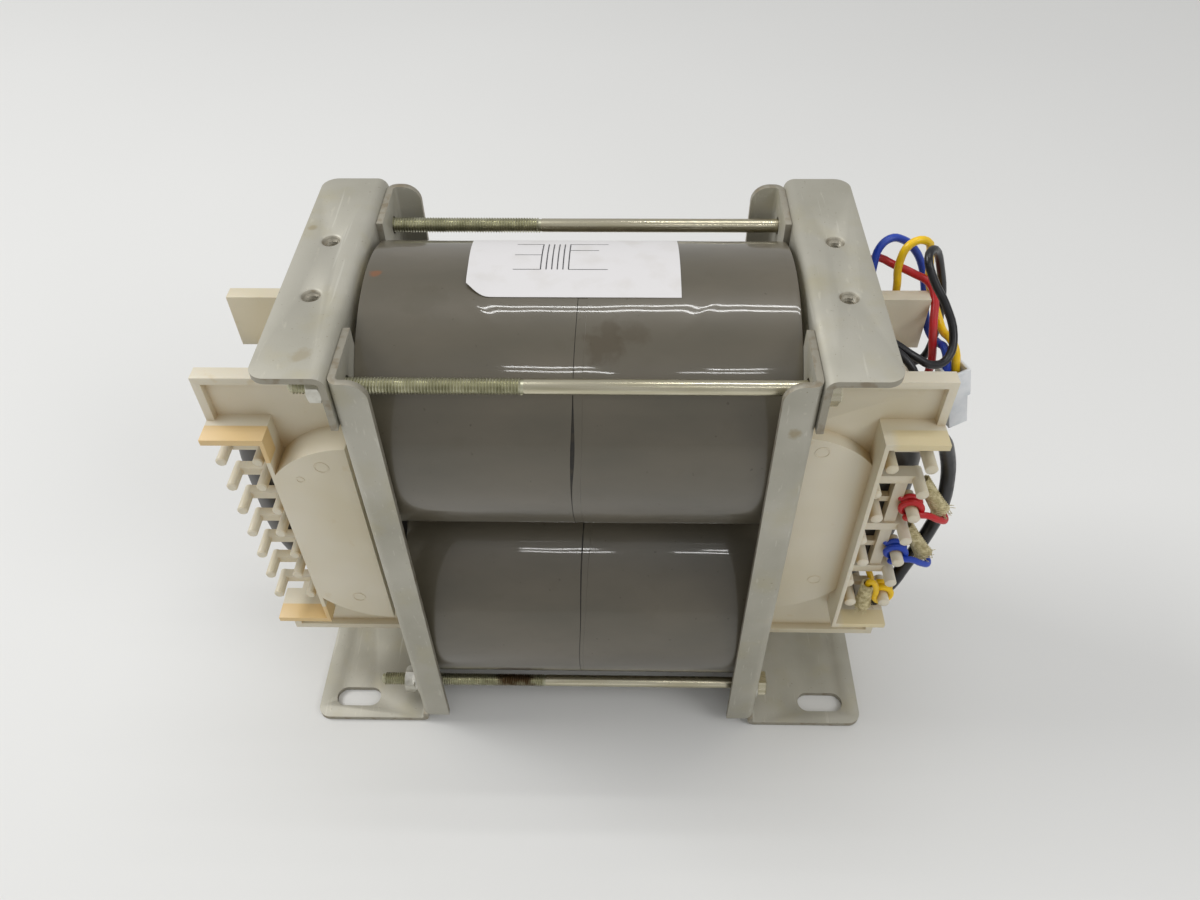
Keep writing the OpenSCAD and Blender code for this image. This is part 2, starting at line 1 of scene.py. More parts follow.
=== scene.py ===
import json
import math
import bmesh
import bpy
from mathutils import Matrix, Vector, noise
from mathutils.bvhtree import BVHTree


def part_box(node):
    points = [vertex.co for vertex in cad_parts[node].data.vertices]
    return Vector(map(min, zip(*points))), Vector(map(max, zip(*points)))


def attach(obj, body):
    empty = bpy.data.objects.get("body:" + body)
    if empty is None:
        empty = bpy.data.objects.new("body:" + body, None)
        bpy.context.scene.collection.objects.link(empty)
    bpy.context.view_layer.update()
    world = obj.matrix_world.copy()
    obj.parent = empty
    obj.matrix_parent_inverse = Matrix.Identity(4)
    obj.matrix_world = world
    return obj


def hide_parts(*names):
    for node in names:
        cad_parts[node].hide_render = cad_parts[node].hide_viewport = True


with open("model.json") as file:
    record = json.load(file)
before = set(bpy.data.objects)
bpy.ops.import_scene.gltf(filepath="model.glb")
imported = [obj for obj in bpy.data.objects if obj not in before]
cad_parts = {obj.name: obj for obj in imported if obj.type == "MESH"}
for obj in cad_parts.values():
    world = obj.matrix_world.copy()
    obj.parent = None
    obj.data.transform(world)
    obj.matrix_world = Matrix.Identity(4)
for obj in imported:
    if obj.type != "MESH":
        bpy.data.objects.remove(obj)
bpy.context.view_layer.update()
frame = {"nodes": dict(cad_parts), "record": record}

mm = 0.001
scene = bpy.context.scene
nodes = frame["nodes"]


def addNode(tree, kind, values=None, links=None, **settings):
    node = tree.nodes.new(kind)
    for name, value in settings.items():
        setattr(node, name, value)
    for name, value in (values or {}).items():
        node.inputs[name].default_value = value
    for name, source in (links or {}).items():
        tree.links.new(source, node.inputs[name])
    return node


def linearColour(hexCode):
    def channel(v):
        return v / 12.92 if v <= 0.04045 else ((v + 0.055) / 1.055) ** 2.4
    return [channel(int(hexCode[i:i + 2], 16) / 255) for i in (1, 3, 5)] + [1.0]


def mmVectors(points):
    return [Vector(p) * mm for p in points]


# ---- camera

viewpoint = dict(place=(9.5, -182.15, 278.05), down=46.748, yaw=-1.739, roll=-0.85, lens=28.645)


def aimCamera(settings):
    down, yaw, roll = (math.radians(settings[k]) for k in ("down", "yaw", "roll"))
    forward = Vector((math.sin(yaw) * math.cos(down), math.cos(yaw) * math.cos(down), -math.sin(down)))
    right = Vector((math.cos(yaw), -math.sin(yaw), 0))
    up = right.cross(forward)
    side = math.cos(roll) * right + math.sin(roll) * up
    top = math.cos(roll) * up - math.sin(roll) * right
    camera = bpy.data.objects.new("camera", bpy.data.cameras.new("camera"))
    camera.data.lens = settings["lens"]
    camera.data.sensor_width = 36
    camera.data.clip_start = 0.01
    camera.matrix_world = Matrix((side, top, -forward)).transposed().to_4x4()
    camera.location = Vector(settings["place"]) * mm
    scene.collection.objects.link(camera)
    scene.camera = camera


aimCamera(viewpoint)


# ---- materials


def startMaterial(name, **shaderValues):
    material = bpy.data.materials.new(name)
    material.use_nodes = True
    tree = material.node_tree
    tree.nodes.clear()
    shader = addNode(tree, "ShaderNodeBsdfPrincipled", values=shaderValues)
    addNode(tree, "ShaderNodeOutputMaterial", links={"Surface": shader.outputs["BSDF"]})
    place = addNode(tree, "ShaderNodeTexCoord").outputs["Object"]
    return material, tree, shader, place


def maths(tree, operation, a, b):
    node = addNode(tree, "ShaderNodeMath", operation=operation)
    for socket, value in zip(node.inputs, (a, b)):
        if isinstance(value, (int, float)):
            socket.default_value = value
        else:
            tree.links.new(value, socket)
    return node.outputs[0]


def patches(tree, place, sizeMm, low, high, detail=3.0, stretch=(1, 1, 1)):
    # soft-edged islands of 0 to 1; low and high say how much of the surface they take
    spread = addNode(tree, "ShaderNodeMapping", values={"Scale": stretch}, links={"Vector": place})
    cloud = addNode(tree, "ShaderNodeTexNoise", values={"Scale": 1000 / sizeMm, "Detail": detail},
                    links={"Vector": spread.outputs["Vector"]})
    return addNode(tree, "ShaderNodeMapRange", values={"From Min": low, "From Max": high},
                   links={"Value": cloud.outputs["Fac"]}).outputs["Result"]


def tinted(tree, mask, under, over, strength=1.0):
    # colour under, turning to colour over where the mask is 1
    part = maths(tree, "MULTIPLY", mask, strength)
    mix = addNode(tree, "ShaderNodeMix", data_type="RGBA", links={0: part})
    for socket, colour in ((6, under), (7, over)):
        if isinstance(colour, str):
            mix.inputs[socket].default_value = linearColour(colour)
        else:
            tree.links.new(colour, mix.inputs[socket])
    return mix.outputs[2]


def roughened(tree, shader, height, depthMm, strength=1.0):
    bump = addNode(tree, "ShaderNodeBump", links={"Height": height},
                   values={"Strength": strength, "Distance": depthMm * mm})
    tree.links.new(bump.outputs["Normal"], shader.inputs["Normal"])
    return bump.outputs["Normal"]


def ranged(tree, value, low, high):
    return addNode(tree, "ShaderNodeMapRange", values={"To Min": low, "To Max": high},
                   links={"Value": value}).outputs["Result"]


def blot(tree, place, centreMm, reachMm):
    # one mark of 1 in the middle with a ragged rim, at a place given in mm
    ragged, grainMm = 2.0, 3.5
    near = addNode(tree, "ShaderNodeMapping", links={"Vector": place},
                   values={"Scale": [1000 / r for r in reachMm],
                           "Location": [-c / r for c, r in zip(centreMm, reachMm)]})
    away = addNode(tree, "ShaderNodeVectorMath", operation="LENGTH", links={0: near.outputs["Vector"]})
    cloud = addNode(tree, "ShaderNodeTexNoise", links={"Vector": place},
                    values={"Scale": 1000 / grainMm, "Detail": 4})
    torn = addNode(tree, "ShaderNodeMath", operation="MULTIPLY_ADD", values={1: ragged},
                   links={0: cloud.outputs["Fac"], 2: away.outputs["Value"]})
    return addNode(tree, "ShaderNodeMapRange", links={"Value": torn.outputs[0]},
                  values={"From Min": 0.5 + ragged / 2, "From Max": 1.0 + ragged / 2,
                          "To Min": 1, "To Max": 0}).outputs["Result"]


def beyond(tree, value, lowMm, highMm):
    # 1 where the value is further than this from zero, on either side
    return addNode(tree, "ShaderNodeMapRange", links={"Value": maths(tree, "ABSOLUTE", value, 0)},
                   values={"From Min": lowMm * mm, "From Max": highMm * mm}).outputs["Result"]


def zincPlatedSheet():
    # rolled sheet steel with dull zinc plating: warm grey, faint yellow passivation, handling scuffs
    material, tree, shader, place = startMaterial("zincPlatedSheetSteel", Metallic=0.6)
    cloudy = patches(tree, place, 26, 0.36, 0.68)
    yellowed = patches(tree, place, 11, 0.52, 0.8, detail=5)
    scuffs = patches(tree, place, 1.4, 0.64, 0.74, detail=4, stretch=(1, 0.25, 1))
    specks = patches(tree, place, 0.7, 0.74, 0.8, detail=1)
    scratches = patches(tree, place, 3, 0.67, 0.71, detail=2, stretch=(3, 0.12, 0.5))
    colour = tinted(tree, cloudy, "#b9b6aa", "#aaa79a")
    colour = tinted(tree, yellowed, colour, "#b0a67c", 0.4)
    colour = tinted(tree, scuffs, colour, "#cbc7b8", 0.4)
    colour = tinted(tree, scratches, colour, "#d0cec3", 0.35)
    colour = tinted(tree, specks, colour, "#6f6146", 0.45)
    for centre, reach, strength in sheetWork["rustSpots"]:
        colour = tinted(tree, blot(tree, place, centre, (reach, reach, reach)), colour, "#8f7c4c", strength)
    tree.links.new(colour, shader.inputs["Base Color"])
    tree.links.new(ranged(tree, cloudy, 0.56, 0.68), shader.inputs["Roughness"])
    grain = patches(tree, place, 0.5, 0.3, 0.7, detail=4)
    roughened(tree, shader, grain, 0.02, 0.5)
    return material


def cutSheetEdge():
    # sheared edge where the plating stops: darker steel with a little rust
    material, tree, shader, place = startMaterial("shearedSteelEdge", Metallic=0.7, Roughness=0.55)
    rust = patches(tree, place, 3, 0.5, 0.66, detail=4)
    colour = tinted(tree, rust, "#a39e90", "#7d6b4e", 0.5)
    tree.links.new(colour, shader.inputs["Base Color"])
    roughened(tree, shader, patches(tree, place, 0.4, 0.3, 0.7, stretch=(1, 1, 4)), 0.03)
    return material


coverMiddleZ = 73.2


def creamMoulding():
    # injection-moulded thermoplastic, once ivory: satin and aged, with painted light on the outer shelf ends
    # and painted shade in the corners
    material, tree, shader, place = startMaterial("yellowedNylonWithPaintedLight", Roughness=0.4, IOR=1.53)
    shader.inputs["Subsurface Weight"].default_value = 0.1
    shader.inputs["Subsurface Radius"].default_value = (0.0022, 0.0016, 0.0009)
    aged = patches(tree, place, 30, 0.36, 0.68, detail=2)
    spots = patches(tree, place, 5, 0.66, 0.8, detail=5)
    # painted shade: ambient occlusion darkens the corners and hollows with a deeper yellow-brown
    corners = addNode(tree, "ShaderNodeAmbientOcclusion", samples=8, values={"Distance": 0.005})
    shade = addNode(tree, "ShaderNodeMapRange", links={"Value": corners.outputs["AO"]},
                    values={"From Min": 0.3, "From Max": 0.85, "To Min": 1, "To Max": 0}).outputs["Result"]
    # painted light: the outer ends of the shelves, in front of the rim's shadow, get a lit yellow-orange
    # tint
    along, depth, height = addNode(tree, "ShaderNodeSeparateXYZ", links={"Vector": place}).outputs
    middle = maths(tree, "SUBTRACT", height, coverMiddleZ * mm)
    paintedLitBand = beyond(tree, depth, 19.0, 19.4)
    for value, low, high in ((along, 74.5, 76.5), (middle, 31.2, 31.5)):
        paintedLitBand = maths(tree, "MULTIPLY", paintedLitBand, beyond(tree, value, low, high))
    side = addNode(tree, "ShaderNodeMapRange", links={"Value": along},
                   values={"From Min": -70 * mm, "From Max": 70 * mm}).outputs["Result"]
    colour = tinted(tree, aged, "#dcd4c0", "#d3c9ae")
    # painted light: the lit band runs from orange at the left end to paler yellow at the right
    colour = tinted(tree, paintedLitBand, colour, tinted(tree, side, "#deb04e", "#dbc88f"), 0.6)
    colour = tinted(tree, spots, colour, "#c4a968", 0.4)
    # painted shade in the corners and hollows
    colour = tinted(tree, shade, colour, "#b08c42", 0.65)
    tree.links.new(colour, shader.inputs["Base Color"])
    roughened(tree, shader, patches(tree, place, 0.8, 0.3, 0.7, detail=2), 0.02, 0.4)
    return material


def coilFilm():
    # clear polyester film over taupe wrap: wet gloss, brown varnish stains, slight waves
    material, tree, shader, place = startMaterial("polyesterFilmOverWrap", Roughness=0.36, IOR=1.5)
    shader.inputs["Coat Weight"].default_value = 0.75
    shader.inputs["Coat Roughness"].default_value = 0.05
    shader.inputs["Coat IOR"].default_value = 1.5
    mottled = patches(tree, place, 16, 0.34, 0.7, detail=4, stretch=(0.5, 1, 1))
    faint = patches(tree, place, 7, 0.6, 0.8, detail=5)
    specks = patches(tree, place, 1.3, 0.76, 0.79, detail=1)
    colour = tinted(tree, mottled, "#5c5546", "#4f4a3c")
    colour = tinted(tree, faint, colour, "#4f4836", 0.45)
    colour = tinted(tree, specks, colour, "#3a3220", 0.6)
    for centre, reach, shadeCode, strength in filmWrap["stains"]:
        colour = tinted(tree, blot(tree, place, centre, reach), colour, shadeCode, strength)
    tree.links.new(colour, shader.inputs["Base Color"])
    waves = patches(tree, place, 14, 0.2, 0.8, detail=2, stretch=(0.35, 1, 1))
    bump = roughened(tree, shader, waves, 0.22, 0.3)
    tree.links.new(bump, shader.inputs["Coat Normal"])
    return material


def filmGap():
    # near-black colour at the bottom of the gap between two films
    material, tree, shader, place = startMaterial("nearBlackGapFloor", Roughness=0.5)
    blotchy = patches(tree, place, 2, 0.4, 0.7)
    tree.links.new(tinted(tree, blotchy, "#1d1a15", "#37301f"), shader.inputs["Base Color"])
    return material


def brightShank():
    # drawn steel rod with thin clear zinc
    material, tree, shader, place = startMaterial("zincPlatedRod", Metallic=1.0)
    streaks = patches(tree, place, 1.2, 0.35, 0.7, stretch=(0.06, 1, 1))
    tree.links.new(tinted(tree, streaks, "#d2ccb6", "#b8b196"), shader.inputs["Base Color"])
    tree.links.new(ranged(tree, streaks, 0.2, 0.34), shader.inputs["Roughness"])
    return material


def rolledThread():
    # the same rod where the thread holds more of the yellow passivation, rusty at the lower front
    material, tree, shader, place = startMaterial("yellowPassivatedThread", Metallic=1.0)
    patchy = patches(tree, place, 3, 0.35, 0.7)
    colour = tinted(tree, patchy, "#cac8b0", "#a19f84")
    colour = tinted(tree, blot(tree, place, (-22, -30.8, 12.1), (9, 4, 4)), colour, "#5f4220", 0.85)
    tree.links.new(colour, shader.inputs["Base Color"])
    tree.links.new(ranged(tree, patchy, 0.3, 0.46), shader.inputs["Roughness"])
    return material


def platedFastener():
    # turned and plated small hardware
    material, tree, shader, place = startMaterial("brightZincHardware", Metallic=1.0, Roughness=0.36)
    dull = patches(tree, place, 2.5, 0.4, 0.7)
    tree.links.new(tinted(tree, dull, "#cfcdc4", "#b2afa2"), shader.inputs["Base Color"])
    return material


def woundStrip():
    # thin silicon-steel strip wound tight, coloured near-black: fine parallel edges
    material, tree, shader, place = startMaterial("nearBlackStripCore", Roughness=0.42)
    edges = addNode(tree, "ShaderNodeTexWave", bands_direction="Y", links={"Vector": place},
                    values={"Scale": 1000 / 0.8 / 20, "Distortion": 0.6}).outputs["Fac"]
    worn = patches(tree, place, 8, 0.4, 0.7)
    tree.links.new(tinted(tree, worn, "#23211e", "#3a342b"), shader.inputs["Base Color"])
    roughened(tree, shader, edges, 0.12, 0.6)
    return material


def enamelledCopper():
    # enamelled winding wire, turn beside turn
    material, tree, shader, place = startMaterial("enamelledCopperWire", Metallic=0.7, Roughness=0.3)
    turns = addNode(tree, "ShaderNodeTexWave", bands_direction="X", values={"Scale": 1000 / 1.1 / 20},
                    links={"Vector": place}).outputs["Fac"]
    tree.links.new(tinted(tree, turns, "#5e2a10", "#b06a34"), shader.inputs["Base Color"])
    roughened(tree, shader, turns, 0.3)
    return material


def insulatingPaper():
    # creped electrical paper
    material, tree, shader, place = startMaterial("crepedPaper", Roughness=0.8)
    crepe = addNode(tree, "ShaderNodeTexWave", bands_direction="X", links={"Vector": place},
                    values={"Scale": 1000 / 0.9 / 20, "Distortion": 3}).outputs["Fac"]
    tree.links.new(tinted(tree, crepe, "#c6b27a", "#d8c794"), shader.inputs["Base Color"])
    roughened(tree, shader, crepe, 0.1)
    return material


def naturalNylon():
    # natural nylon of bobbins
    material, tree, shader, place = startMaterial("naturalNylon", Roughness=0.4, IOR=1.53)
    shader.inputs["Subsurface Weight"].default_value = 0.2
    shader.inputs["Subsurface Radius"].default_value = (0.003, 0.0025, 0.002)
    tone = patches(tree, place, 6, 0.4, 0.7)
    tree.links.new(tinted(tree, tone, "#e6dfcc", "#d8ceb4"), shader.inputs["Base Color"])
    return material


def labelPaper():
    # coated paper label, white and slightly grubby
    material, tree, shader, place = startMaterial("coatedPaper", Roughness=0.5)
    grubby = patches(tree, place, 7, 0.5, 0.8, detail=4)
    tree.links.new(tinted(tree, grubby, "#d9d7d7", "#d0cdca"), shader.inputs["Base Color"])
    return material


def printInk():
    # thermal print, dark grey and a little broken
    material, tree, shader, place = startMaterial("thermalPrint", Roughness=0.6)
    broken = patches(tree, place, 0.9, 0.5, 0.8)
    tree.links.new(tinted(tree, broken, "#3a3a3d", "#77767a"), shader.inputs["Base Color"])
    return material


def leadInsulation(name, colour, dull):
    # smooth extruded PVC, soft gloss with dusty patches
    material, tree, shader, place = startMaterial(name, IOR=1.52)
    dusty = patches(tree, place, 2.4, 0.42, 0.72)
    tree.links.new(tinted(tree, dusty, colour, dull, 0.6), shader.inputs["Base Color"])
    tree.links.new(ranged(tree, dusty, 0.28, 0.45), shader.inputs["Roughness"])
    return material


def whiteNylon():
    # white moulded connector nylon
    material, tree, shader, place = startMaterial("whiteConnectorNylon", Roughness=0.35, IOR=1.53)
    shader.inputs["Subsurface Weight"].default_value = 0.15
    shader.inputs["Subsurface Radius"].default_value = (0.002, 0.002, 0.002)
    tone = patches(tree, place, 4, 0.4, 0.7)
    tree.links.new(tinted(tree, tone, "#e6e8ea", "#d6dade"), shader.inputs["Base Color"])
    return material


def glassBraid():
    # varnished glass-fibre sleeving: straw-coloured crossing yarns
    material, tree, shader, place = startMaterial("varnishedGlassBraid", Roughness=0.6)
    yarns = patches(tree, place, 1.2, 0.35, 0.65, detail=2)
    tree.links.new(tinted(tree, yarns, "#d9cfa6", "#a99c70"), shader.inputs["Base Color"])
    roughened(tree, shader, patches(tree, place, 0.3, 0.35, 0.65, stretch=(1, 1, 0.3)), 0.05)
    return material


sheetWork = dict(
    pieces=("left_bracket", "right_bracket", "left_top_angle", "right_top_angle"), edge=0.25, thick=1.6,
    rustSpots=[((46.6, -38.6, 130.9), 1.8, 0.5), ((-66, 16, 146), 1.5, 0.4), ((-58, -31, 146), 2.5, 0.3)])
filmWrap = dict(
    nodes=dict(upper_wrap=109.6, lower_wrap=36.8), radius=36.2, inner=35.6, fold=34.6, foldDeep=1.6,
    halfLong=49.9, across=72, around=160, gapDeep=0.3,
    stains=[((6, -19.5, 140.1), (6, 6, 6), "#443923", 0.65), ((11.5, -18, 141), (4, 4, 4), "#443923", 0.5),
            ((-47, -2, 145.8), (1.6, 1.6, 1.6), "#7a4a22", 0.8),
            ((-36, -10, 144.4), (7, 5, 5), "#4b4534", 0.4),
            ((33, -34, 98), (5, 5, 5), "#3f3c2a", 0.4)])
finishes = dict(
    core_steel=woundStrip(), bobbin_nylon=naturalNylon(), copper_wire=enamelledCopper(),
    crepe_paper=insulatingPaper(), coil_film=coilFilm(), zinc_sheet=zincPlatedSheet(),
    cover_moulding=creamMoulding(), bolt_zinc=brightShank(), washer_zinc=platedFastener(),
    label_paper=labelPaper(), glass_sleeve=glassBraid(), connector_nylon=whiteNylon(),
    blue_pvc=leadInsulation("bluePvc", "#1a3fb0", "#2b4ea8"),
    red_pvc=leadInsulation("redPvc", "#c01820", "#a82a2a"),
    yellow_pvc=leadInsulation("yellowPvc", "#f5c800", "#d9b020"),
    black_pvc=leadInsulation("blackPvc", "#0d0d11", "#1d1d22"))
finishes["spring_steel"] = finishes["nut_zinc"] = finishes["washer_zinc"]
cutEdge, threadFinish, gapFinish, ink = cutSheetEdge(), rolledThread(), filmGap(), printInk()
slotOf = {part["node"]: part["material_slot"] for part in frame["record"]["subparts"]}
for nodeName, cadObject in nodes.items():
    for materialSlot in cadObject.material_slots:
        materialSlot.material = finishes[slotOf[nodeName]]
print("materials:", len(bpy.data.materials))


# ---- leads: one curve each, through the points of the part's own routes

plugMouth = dict(place=(93.4, 0, 116), tilt=-14, turn=19, recess=7)


def plugPoint(x, y, down):
    tilt, turn = math.radians(plugMouth["tilt"]), math.radians(plugMouth["turn"])
    along = x * math.cos(turn) - y * math.sin(turn)
    across = x * math.sin(turn) + y * math.cos(turn)
    return (plugMouth["place"][0] + along * math.cos(tilt) - down * math.sin(tilt), across,
            plugMouth["place"][2] - along * math.sin(tilt) - down * math.cos(tilt))


leads = dict(
    blueLead=dict(
        node="blue_lead", length=82, wide=2.1, end="connector",
        route=[(75, 20, 112.5), (75, 20, 118), (74.5, 21.5, 126.4), (74.7, 23, 131), (75.6, 24.5, 134.6),
               (78.2, 26, 136.4), (82, 27.4, 135.2), (85.8, 28, 131.9), (88.6, 27.4, 127.5),
               (89.9, 25, 122.8),
               (89.9, 20.5, 119.5), (89.8, 16, 117.4), (90.2, 11.5, 116.6), (91, 7.2, 117.6),
               (91.4, 3.4, 119),
               plugPoint(-1.3, 0.6, 1), plugPoint(-1.3, 0.6, plugMouth["recess"])]),
    redLead=dict(
        node="red_lead", length=94, wide=2.1, end="object",
        route=[(77.6, 22.8, 112.5), (77.6, 22.8, 117), (75.4, 24.2, 122.6), (73, 25, 127),
               (75.2, 25.4, 130.8),
               (80.6, 24.4, 129.4), (85.4, 22, 128.4), (88.8, 18.8, 127.8), (89.8, 14.6, 125.4),
               (89.2, 10.4, 122.8), (88.8, 6, 119.4), (89.6, 5, 114.4), (90.2, 6, 107.6), (90.8, 9.6, 97),
               (91.6, 14.6, 86), (90.9, 15.4, 83.2), (88.2, 15.4, 82.8)]),
    yellowLead=dict(
        node="yellow_lead", length=79, wide=2.1, end="connector",
        route=[(82, 21.4, 112.5), (82, 21.4, 119), (81.2, 20.6, 126), (80.2, 20.2, 133), (82, 21, 138.2),
               (86.6, 22.6, 138), (88.8, 23.6, 132.6), (89.9, 22, 125.6), (91, 17.4, 122.4),
               (91.6, 13, 120.8),
               (92, 9, 120), (92.6, 5, 121), (93.4, 1.6, 120), plugPoint(0.9, 0.2, 1),
               plugPoint(0.9, 0.2, plugMouth["recess"])]),
    blackLead=dict(
        node="black_lead", length=121, wide=2.1, end="object",
        route=[(49.9, 4, 127.9), (62, 4, 127.9), (70.6, 1, 127), (76.4, -2.2, 125.4), (81.4, -4.6, 123.2),
               (86.6, -4.6, 120.6), (90.6, -2, 121), (91.8, 2, 124.6), (89.4, 6, 130.6), (85.8, 9, 136),
               (84.2, 12.4, 140.2), (87, 17, 139.4), (91, 20, 131.4), (94, 20.6, 121), (94.4, 19.4, 109),
               (91.6, 18, 102.2), (88.2, 18, 102)]),
    blackPairLead=dict(
        node="black_pair_lead", length=59, wide=2.1, end="object",
        route=[(49.9, 0.6, 127.9), (62, 0.6, 127.9), (70.6, -2.2, 127), (76, -5, 125.6), (79.6, -7.8, 123.2),
               (81.6, -9.2, 119.8), (83.4, -9.6, 116), (85, -9.2, 112.4), (86.4, -8.6, 108.6),
               (86.8, -9.4, 104.8), (86.6, -11.8, 102.2), (86.6, -13.7, 102)]),
    sleevedLead=dict(
        node="sleeved_lead", length=83, wide=4, end="object",
        route=[(86.4, -15.6, 110.7), (86.4, -15.6, 108.6), (90.6, -13.8, 104), (94.2, -11.8, 96.6),
               (97.6, -10.2, 85), (99, -9.6, 72), (97.4, -10, 59), (93.8, -11.4, 46.8), (90.6, -13.8, 41.4),
               (86.4, -15.6, 37.8), (86.4, -15.6, 35.7)]))


def smoothWire(name, route, wideMm):
    # a round wire along smooth points
    curve = bpy.data.curves.new(name, "CURVE")
    curve.dimensions = "3D"
    curve.bevel_depth = wideMm / 2 * mm
    curve.bevel_resolution = 3
    curve.resolution_u = 4
    curve.use_fill_caps = True
    spline = curve.splines.new("BEZIER")
    spline.bezier_points.add(len(route) - 1)
    for point, place in zip(spline.bezier_points, mmVectors(route)):
        point.co = place
        point.handle_left_type = point.handle_right_type = "AUTO"
    piece = bpy.data.objects.new(name, curve)
    scene.collection.objects.link(piece)
    return piece




# ---- pieces


def finishPiece(name, mesh, replaced=(), smoothAngle=30):
    piece = bpy.data.objects.new(name, mesh)
    scene.collection.objects.link(piece)
    mesh.shade_smooth()
    mesh.set_sharp_from_angle(angle=math.radians(smoothAngle))
    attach(piece, "root")
    if replaced:
        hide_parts(*replaced)
    return piece


def cadCopy(nodeName):
    solid = bmesh.new()
    solid.from_mesh(nodes[nodeName].data)
    bmesh.ops.remove_doubles(solid, verts=solid.verts, dist=0.002 * mm)
    bmesh.ops.dissolve_limit(solid, angle_limit=math.radians(0.8), verts=solid.verts, edges=solid.edges)
    return solid


def evaluatedMesh(holder):
    done = bpy.data.meshes.new_from_object(holder.evaluated_get(bpy.context.evaluated_depsgraph_get()))
    bpy.data.objects.remove(holder)
    return done


def easedMesh(name, solid, widthMm, angle=50, cutter=None):
    # breaks the sharp edges as the press or the mould leaves them
    mesh = bpy.data.meshes.new(name)
    solid.to_mesh(mesh)
    solid.free()
    mesh.materials.clear()
    holder = bpy.data.objects.new(name, mesh)
    scene.collection.objects.link(holder)
    ease = holder.modifiers.new("ease", "BEVEL")
    ease.width = widthMm * mm
    ease.segments = 2
    ease.limit_method = "ANGLE"
    ease.angle_limit = math.radians(angle)
    ease.use_clamp_overlap = True
    if cutter:
        cut = holder.modifiers.new("cut", "BOOLEAN")
        cut.operation = "DIFFERENCE"
        cut.solver = "EXACT"
        cut.object = cutter
    return evaluatedMesh(holder)


def lathed(profile, place=(0, 0, 0), around=48, axis="X"):
    # turns (distance along, radius) points about an axis through place; radius 0 closes an end
    solid = bmesh.new()
    centre = Vector(place)
    rings = []
    for along, radius in profile:
        ring = []
        for k in range(around if radius else 1):
            a, b = radius * math.cos(math.tau * k / around), radius * math.sin(math.tau * k / around)
            offset = (along, a, b) if axis == "X" else (a, b, along)
            ring.append(solid.verts.new((centre + Vector(offset)) * mm))
        rings.append(ring)
    for one, two in zip(rings, rings[1:]):
        for k in range(around):
            after = k + 1
            corners = [one[k % len(one)], one[after % len(one)], two[after % len(two)], two[k % len(two)]]
            solid.faces.new(dict.fromkeys(corners))
    bmesh.ops.recalc_face_normals(solid, faces=solid.faces)
    return solid


def joinedMesh(name, parts):
    # one mesh from bmeshes or meshes, each with its own material
    whole = bmesh.new()
    mesh = bpy.data.meshes.new(name)
    finishesUsed = list(dict.fromkeys(material for part, material in parts))
    for part, material in parts:
        if isinstance(part, bmesh.types.BMesh):
            loose = bpy.data.meshes.new(name)
            part.to_mesh(loose)
            part.free()
            part = loose
        before = len(whole.faces)
        whole.from_mesh(part)
        whole.faces.ensure_lookup_table()
        for face in whole.faces[before:]:
            face.material_index = finishesUsed.index(material)
    whole.to_mesh(mesh)
    whole.free()
    for material in finishesUsed:
        mesh.materials.append(material)
    return mesh


# ---- node trees for what repeats


def startTree(name, inputs):
    tree = bpy.data.node_groups.new(name, "GeometryNodeTree")
    sockets = {}
    for label, kind in inputs.items():
        socket = tree.interface.new_socket(name=label, in_out="INPUT", socket_type="NodeSocket" + kind)
        sockets[label] = socket.identifier
    tree.interface.new_socket(name="Geometry", in_out="OUTPUT", socket_type="NodeSocketGeometry")
    return tree, sockets, addNode(tree, "NodeGroupInput").outputs


def endTree(tree, given, parts):
    joint = addNode(tree, "GeometryNodeJoinGeometry")
    for part in parts:
        tree.links.new(part, joint.inputs["Geometry"])
    plain = addNode(tree, "GeometryNodeRealizeInstances", links={"Geometry": joint.outputs["Geometry"]})
    dressed = addNode(tree, "GeometryNodeSetMaterial",
                      links={"Geometry": plain.outputs["Geometry"], "Material": given["Material"]})
    addNode(tree, "NodeGroupOutput", links={"Geometry": dressed.outputs["Geometry"]})


def growMesh(name, tree, sockets, values):
    holder = bpy.data.objects.new(name, bpy.data.meshes.new(name))
    scene.collection.objects.link(holder)
    modifier = holder.modifiers.new("grow", "NODES")
    modifier.node_group = tree
    for label, value in values.items():
        modifier[sockets[label]] = value
    return evaluatedMesh(holder)


def threadTree():
    # a ridge of square section turned on its corner, wound at the pitch of the thread
    tree, sockets, given = startTree("rolledThreadTree", {
        "Length": "Float", "Pitch": "Float", "Ridge Radius": "Float", "Material": "Material"})
    turns = maths(tree, "DIVIDE", given["Length"], given["Pitch"])
    helix = addNode(tree, "GeometryNodeCurveSpiral", values={"Resolution": 24}, links={
        "Rotations": turns, "Start Radius": given["Ridge Radius"], "End Radius": given["Ridge Radius"],
        "Height": given["Length"]})
    upright = addNode(tree, "GeometryNodeSetCurveNormal", mode="Z_UP",
                      links={"Curve": helix.outputs["Curve"]})
    section = addNode(tree, "GeometryNodeCurvePrimitiveCircle", values={"Resolution": 4},
                      links={"Radius": maths(tree, "MULTIPLY", given["Pitch"], 0.5)})
    ridge = addNode(tree, "GeometryNodeCurveToMesh", values={"Fill Caps": True},
                    links={"Curve": upright.outputs["Curve"], "Profile Curve": section.outputs["Curve"]})
    endTree(tree, given, [ridge.outputs["Mesh"]])
    return tree, sockets


